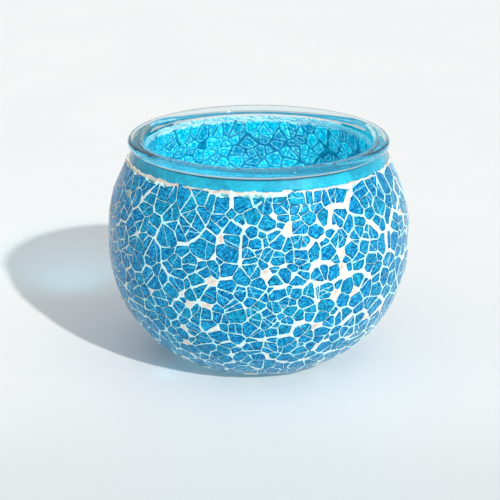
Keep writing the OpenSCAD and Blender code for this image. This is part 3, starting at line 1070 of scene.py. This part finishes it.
# %% Tinted bed shape
BED_SWING, BED_SEED = 0.5 * MM, 5
BED_TOP, COLLAR_TOP = UP_TOP + 3.0 * MM, UP_TOP + 4.7 * MM
FACE_DEPTH = GLASS_DEPTH + 0.05 * MM
OUTER_DEPTH, CAP_DEPTH = BACK_DEPTH + 0.12 * MM, BACK_DEPTH + 0.16 * MM
OUTSIDE_VALUES = {"edge": -1.0, "tone": 0.1, "inside": 0.0}
outer_up = ragged_rows(np.linspace(UP_BOTTOM, COLLAR_TOP, INNER_RINGS), BED_SWING, BED_SEED)
inner_up = ragged_rows(np.linspace(BED_TOP, UP_BOTTOM, ROWS), BED_SWING, BED_SEED)
bed_outer, _ = grid_places(outer_up, OUTER_DEPTH)
bed_cap, _ = grid_places(outer_up[-1:], CAP_DEPTH)
bed_inner, _ = grid_places(inner_up, FACE_DEPTH)
bed_points = np.concatenate([bed_outer, bed_cap, bed_inner])
bed_values = {name: np.full(bed_points.shape[:2], plain) for name, plain in OUTSIDE_VALUES.items()}
bed_values["edge"][INNER_RINGS + 1:] = chip_edge[::-1] / MM
bed_values["tone"][INNER_RINGS + 1:] = chip_tone[::-1]
bed_values["inside"][INNER_RINGS:] = 1
bed = make_piece("tint_shell", bed_points, ring_quads(len(bed_points), TURNS).tolist(),
                 blue_tint, ["tint_bed"], bed_values, sharp=60)
print("the tinted bed has", len(bed.data.polygons), "faces")

# %% [markdown]
# ## The clear glass
#
# Pressed glass is clear with a breath of green-blue, and its surface keeps faint streaks from the
# mould. It bends light for the eye, but lets the lamps' light straight through, as the renderer
# can't follow focused light through it well. Light that has bounced several times between the
# lip's faces leaves the same way, or it would be trapped and the lip would turn black.

# %% Clear glass material
CLEAR_TINT, THROUGH_TINT = (0.86, 0.95, 0.965, 1), (0.90, 0.96, 0.97, 1)
MOST_BOUNCES = 4.5
MOULD_STREAKS = (1, 1, 3.5)


def clear_material():
    material, tree, surface = new_material(
        "clear glass", Base_Color=CLEAR_TINT, IOR=1.49, Specular_IOR_Level=0.12,
        Transmission_Weight=1.0)
    streaks = noise_value(tree, 55.0, 2.0, stretch=MOULD_STREAKS, twist=0.5)
    add_bump(tree, surface, 0.35, 0.5 * MM, streaks)
    smears = remap(tree, noise_value(tree, 300.0, 3.0), 0.4, 0.8, 0.01, 0.06)
    set_input(tree, surface, "Roughness", smears)
    path = add_node(tree, "ShaderNodeLightPath").outputs
    trapped = math_node(tree, "GREATER_THAN", path["Ray Depth"], MOST_BOUNCES)
    straight = math_node(tree, "MAXIMUM", path["Is Shadow Ray"], trapped)
    through = add_node(tree, "ShaderNodeBsdfTransparent", {"Color": THROUGH_TINT})
    both = add_node(tree, "ShaderNodeMixShader",
                    {0: straight, 1: surface.outputs[0], 2: through.outputs[0]})
    tree.links.new(both.outputs[0], tree.nodes["Material Output"].inputs["Surface"])
    return material


clear_glass = clear_material()
print("clear glass lets the lamps through")

# %% [markdown]
# ## The clear bowl
#
# The bowl is one pressing: a flat foot with a hollow under it, a wall three millimetres thick, a
# thick bare neck and a rolled lip. It is turned from a single line, so a lathe shape is the
# natural way to make it. The line starts under the middle of the foot, goes out and up the
# outside to the ledge where the mosaic ends, over the neck and the lip, and down the inside to
# the floor. Arcs are written by their centre, radius and two angles, as on a drawing.

# %% The bowl's line
TOTAL_HEIGHT = 74.7 * MM
LIP_RADIUS, MOUTH_RADIUS = 42.85 * MM, 37.5 * MM
LIP_ROUND, MOUTH_ROUND = 1.5 * MM, 2.2 * MM
LEDGE_Z = 68 * MM
FOOT_RADIUS, FOOT_ROUND = 24 * MM, 0.6 * MM
PUNT_RADIUS, PUNT_HEIGHT = 18 * MM, 0.8 * MM
FLOOR_Z, FLOOR_MIDDLE = 5.5 * MM, 12 * MM
AXIS_HOLE = 0.2 * MM
LOWER_CENTRE = (BELLY_RADIUS - LOWER_ROUND, BELLY_Z)
UPPER_CENTRE = (BELLY_RADIUS - UPPER_ROUND, BELLY_Z + BAND_HEIGHT)
LEAN = math.degrees(SHOULDER_LEAN)


def on_circle(centre, radius, turn):
    """The place on a circle at that angle, in degrees."""
    turn = math.radians(turn)
    return centre[0] + radius * math.cos(turn), centre[1] + radius * math.sin(turn)


def arc(centre, radius, start, end, steps):
    """Points along an arc; the angles are in degrees."""
    return [on_circle(centre, radius, start + (end - start) * i / steps) for i in range(steps + 1)]


def line(start, end, steps):
    """Points between two ends, without the ends."""
    return [(start[0] + (end[0] - start[0]) * i / steps, start[1] + (end[1] - start[1]) * i / steps)
            for i in range(1, steps)]


def on_shoulder(depth, height):
    """The place at that height on the straight shoulder, that far under the outer surface."""
    start = on_circle(UPPER_CENTRE, UPPER_ROUND - depth, LEAN)
    return start[0] - (height - start[1]) * math.tan(SHOULDER_LEAN), height


def foot_line():
    """Under the foot, from the axis to the start of the outer wall."""
    rim = PUNT_RADIUS
    points = [(AXIS_HOLE, PUNT_HEIGHT), (rim - 2.5 * PUNT_HEIGHT, PUNT_HEIGHT),
              (rim - PUNT_HEIGHT, 0.7 * PUNT_HEIGHT), (rim - 0.3 * PUNT_HEIGHT, 0.15 * PUNT_HEIGHT),
              (rim + 0.5 * MM, 0), (FOOT_RADIUS - FOOT_ROUND - 0.2 * MM, 0)]
    return points + arc((FOOT_RADIUS - FOOT_ROUND, FOOT_ROUND), FOOT_ROUND, -80, 0, 5)


def outer_line():
    """Up the outer wall, over the ledge and the neck, and round the lip to its top."""
    outside, upper = LOWER_ROUND - GLASS_DEPTH, UPPER_ROUND - GLASS_DEPTH
    lip = (LIP_RADIUS - LIP_ROUND, TOTAL_HEIGHT - LIP_ROUND)
    neck_away = (lip[0] - on_shoulder(NECK_DEPTH, lip[1])[0]) * math.cos(SHOULDER_LEAN)
    under_lip = LEAN - 180 + math.degrees(math.acos(neck_away / LIP_ROUND))
    rolled = arc(lip, LIP_ROUND, under_lip, 90, 14)
    ledge = [on_shoulder(GLASS_DEPTH, LEDGE_Z), on_shoulder(NECK_DEPTH, LEDGE_Z)]
    foot_turn = -math.degrees(math.acos((FOOT_RADIUS - LOWER_CENTRE[0]) / outside))
    points = arc(LOWER_CENTRE, outside, foot_turn, 0, 30) + arc(UPPER_CENTRE, upper, 0, LEAN, 12)
    return points + line(points[-1], ledge[0], 8) + ledge + line(ledge[1], rolled[0], 6) + rolled


def inner_line():
    """From the mouth down the inner wall to the axis."""
    inside, upper = LOWER_ROUND - GLASS_DEPTH - WALL, UPPER_ROUND - GLASS_DEPTH - WALL
    floor_turn = math.degrees(math.asin((FLOOR_Z - BELLY_Z) / inside))
    floor_edge = on_circle(LOWER_CENTRE, inside, floor_turn)[0]
    shoulder = on_circle(UPPER_CENTRE, upper, LEAN)
    neck_foot = (MOUTH_RADIUS,
                 shoulder[1] + (shoulder[0] - MOUTH_RADIUS) / math.tan(SHOULDER_LEAN))
    mouth = (MOUTH_RADIUS + MOUTH_ROUND, TOTAL_HEIGHT - MOUTH_ROUND)
    points = arc(mouth, MOUTH_ROUND, 90, 180, 10)
    points += line(points[-1], neck_foot, 4) + [neck_foot] + line(neck_foot, shoulder, 6)
    points += arc(UPPER_CENTRE, upper, LEAN, 0, 12)
    points += arc(LOWER_CENTRE, inside, 0, floor_turn + 2, 28)
    return points + [(floor_edge - 0.9 * MM, FLOOR_Z + 0.05 * MM), (floor_edge - 2.5 * MM, FLOOR_Z),
                     (FLOOR_MIDDLE, FLOOR_Z), (AXIS_HOLE, FLOOR_Z)]


profile = np.array(foot_line() + outer_line() + inner_line())
print("the bowl's line has", len(profile), "points, and the lip is at",
      round(profile[:, 1].max() / MM, 2), "mm")

# %% [markdown]
# Turning the line round the axis gives the rings, and two many-sided faces close the shape in the
# middle. Pressed glass isn't perfectly even, so the rings are squeezed in by a few hundredths of
# a millimetre, by soft noise. That makes the reflections in the lip waver as real ones do.

# %% Turn the bowl
BOWL_TURNS = 240
MOST_SQUEEZE, SQUEEZE_SCALE = 0.0012, 45
turns = np.arange(BOWL_TURNS) * 2 * math.pi / BOWL_TURNS
radii, heights = profile[:, :1], profile[:, 1:]
bowl_points = np.stack([radii * np.cos(turns), radii * np.sin(turns),
                        np.repeat(heights, BOWL_TURNS, 1)], -1)
uneven = np.array([noise.noise(Vector(p) * SQUEEZE_SCALE) for p in bowl_points.reshape(-1, 3)])
squeeze = 1 - MOST_SQUEEZE * (0.5 + 0.5 * uneven.reshape(bowl_points.shape[:2]))
bowl_points[..., :2] *= squeeze[..., None]
bowl_faces = ring_quads(len(profile), BOWL_TURNS, closed=False).tolist()
bowl_faces += [list(range(BOWL_TURNS - 1, -1, -1)),
               [(len(profile) - 1) * BOWL_TURNS + i for i in range(BOWL_TURNS)]]
bowl = make_piece("clear_bowl", bowl_points, bowl_faces, clear_glass, ["glass_bowl"],
                  {}, sharp=30)
print("the bowl has", len(bowl.data.polygons), "faces")

# %% [markdown]
# ## A pale table
#
# The holder stands on a plain pale table, a little uneven in tone so it doesn't look like paper.
# In front of the holder the table is painted a shade darker, a painted falloff of the light that
# keeps the foreground quiet. The table lies a hair under the foot, so the two never share a plane.

# %% Table
TABLE_SIZE, TABLE_BACK, TABLE_DROP = 4.0, 0.6, -0.05 * MM
FALLOFF_SHADE, NEAR_FROM, NEAR_TO = (0.76, 0.80, 0.81, 1), -120 * MM, -25 * MM


def table_material():
    material, tree, surface = new_material("pale table", Roughness=0.55, Specular_IOR_Level=0.2)
    # Painted shade: the table goes darker towards the viewer, a painted falloff of the light.
    near = remap(tree, place_along(tree, "Y"), NEAR_FROM, NEAR_TO, 1.0, 0.0)
    set_input(tree, surface, "Base Color", blend(tree, near, shade(tree, "table paint"), FALLOFF_SHADE))
    return material


table_data = bpy.data.meshes.new("table")
table_shape = bmesh.new()
bmesh.ops.create_grid(table_shape, x_segments=8, y_segments=8, size=TABLE_SIZE / 2,
                      matrix=Matrix.Translation((0, TABLE_BACK, TABLE_DROP)))
table_shape.to_mesh(table_data)
table_shape.free()
table_data.materials.append(table_material())
table = add_object("table", table_data)
table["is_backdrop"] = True
print("the table is", TABLE_SIZE, "m wide")

# %% [markdown]
# ## Soft light
#
# One lamp stands for a bright window: far off, in front and to the right, so the shadow falls to
# the back left. A pale surround fills the shadows and is what the glass mirrors. Sunlight that
# goes through blue glass lands on the table as blue light. The renderer can't focus it, so two
# small blue lamps stand for it: one in the middle of the shadow, and a much weaker one beside
# the foot.

# %% Lamps and surround
LAMP_TURN, LAMP_RISE = math.radians(-57.3), math.radians(32.5)
WINDOW_COLOUR, WINDOW_STRENGTH, WINDOW_WIDTH = (1.0, 0.985, 0.95), 2.6, math.radians(1.8)
GLOW_COLOUR = (0.25, 0.80, 1.0)
# Each glow: place and aim in millimetres, spread in degrees, power in watts, lamp size.
BLUE_GLOWS = {"glow in the shadow": ((-62, 30, 40), (-14, 54, -40), 60, 0.05, 10),
              "glow by the foot": ((-38, -28, 7), (20, 12, -7), 90, 0.0016, 2)}
SURROUND = (0.575, 0.60, 0.615, 1)


def turn_away(thing, backward):
    """Turns a lamp or camera so that it looks away from that direction."""
    thing.rotation_euler = backward.to_track_quat("Z", "Y").to_euler()


to_lamp = Vector((math.cos(LAMP_TURN) * math.cos(LAMP_RISE),
                  math.sin(LAMP_TURN) * math.cos(LAMP_RISE), math.sin(LAMP_RISE)))
lamp_data = bpy.data.lights.new("window", "SUN")
lamp_data.energy, lamp_data.angle = WINDOW_STRENGTH, WINDOW_WIDTH
lamp_data.color = WINDOW_COLOUR
lamp = add_object("window", lamp_data)
lamp.location = to_lamp
turn_away(lamp, to_lamp)
lamp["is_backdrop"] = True

for name, (place, aim, spread, power, width) in BLUE_GLOWS.items():
    glow_data = bpy.data.lights.new(name, "SPOT")
    glow_data.energy = power
    glow_data.color = GLOW_COLOUR
    glow_data.spot_size, glow_data.spot_blend = math.radians(spread), 1.0
    glow_data.shadow_soft_size = width * MM
    glow = add_object(name, glow_data)
    glow.location = Vector(place) * MM
    turn_away(glow, -Vector(aim))
    glow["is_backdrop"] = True

world = bpy.data.worlds.new("surround")
world.use_nodes = True
world.node_tree.nodes["Background"].inputs["Color"].default_value = SURROUND
bpy.context.scene.world = world
print("the window stands", round(math.degrees(LAMP_RISE)), "degrees high, with", len(BLUE_GLOWS),
      "small glows")

# %% [markdown]
# ## The camera
#
# The camera looks slightly down into the mouth from half a metre, with a long lens, so the
# round bowl isn't stretched. Colours are shown as they are, without a film look.

# %% Camera and colour
CAMERA_TARGET = Vector((-2.78, 0, 34.74)) * MM
CAMERA_DISTANCE, CAMERA_RISE = 500 * MM, math.radians(19.22)
CAMERA_LENS, SENSOR_WIDTH, NEAREST_SEEN = 107.06, 36, 0.01
camera_data = bpy.data.cameras.new("camera")
camera_data.lens, camera_data.sensor_width = CAMERA_LENS, SENSOR_WIDTH
camera_data.clip_start = NEAREST_SEEN
camera = add_object("camera", camera_data)
away = Vector((0, -math.cos(CAMERA_RISE), math.sin(CAMERA_RISE)))
camera.location = CAMERA_TARGET + away * CAMERA_DISTANCE
turn_away(camera, away)
bpy.context.scene.camera = camera
bpy.context.scene.view_settings.view_transform = "Standard"
print("the camera stands at", [round(c, 4) for c in camera.location])

# %% [markdown]
# ## Sizes and finish
#
# The last cell prints the box of the frame the holder came from and the box of the dressed holder.

# %% Print the sizes and finish
look_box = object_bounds()
[[list(corner) for corner in box] for box in (cad_box, look_box)]
print("frame", [[round(v / MM, 2) for v in corner] for corner in cad_box])
print("looks", [[round(v / MM, 2) for v in corner] for corner in look_box])
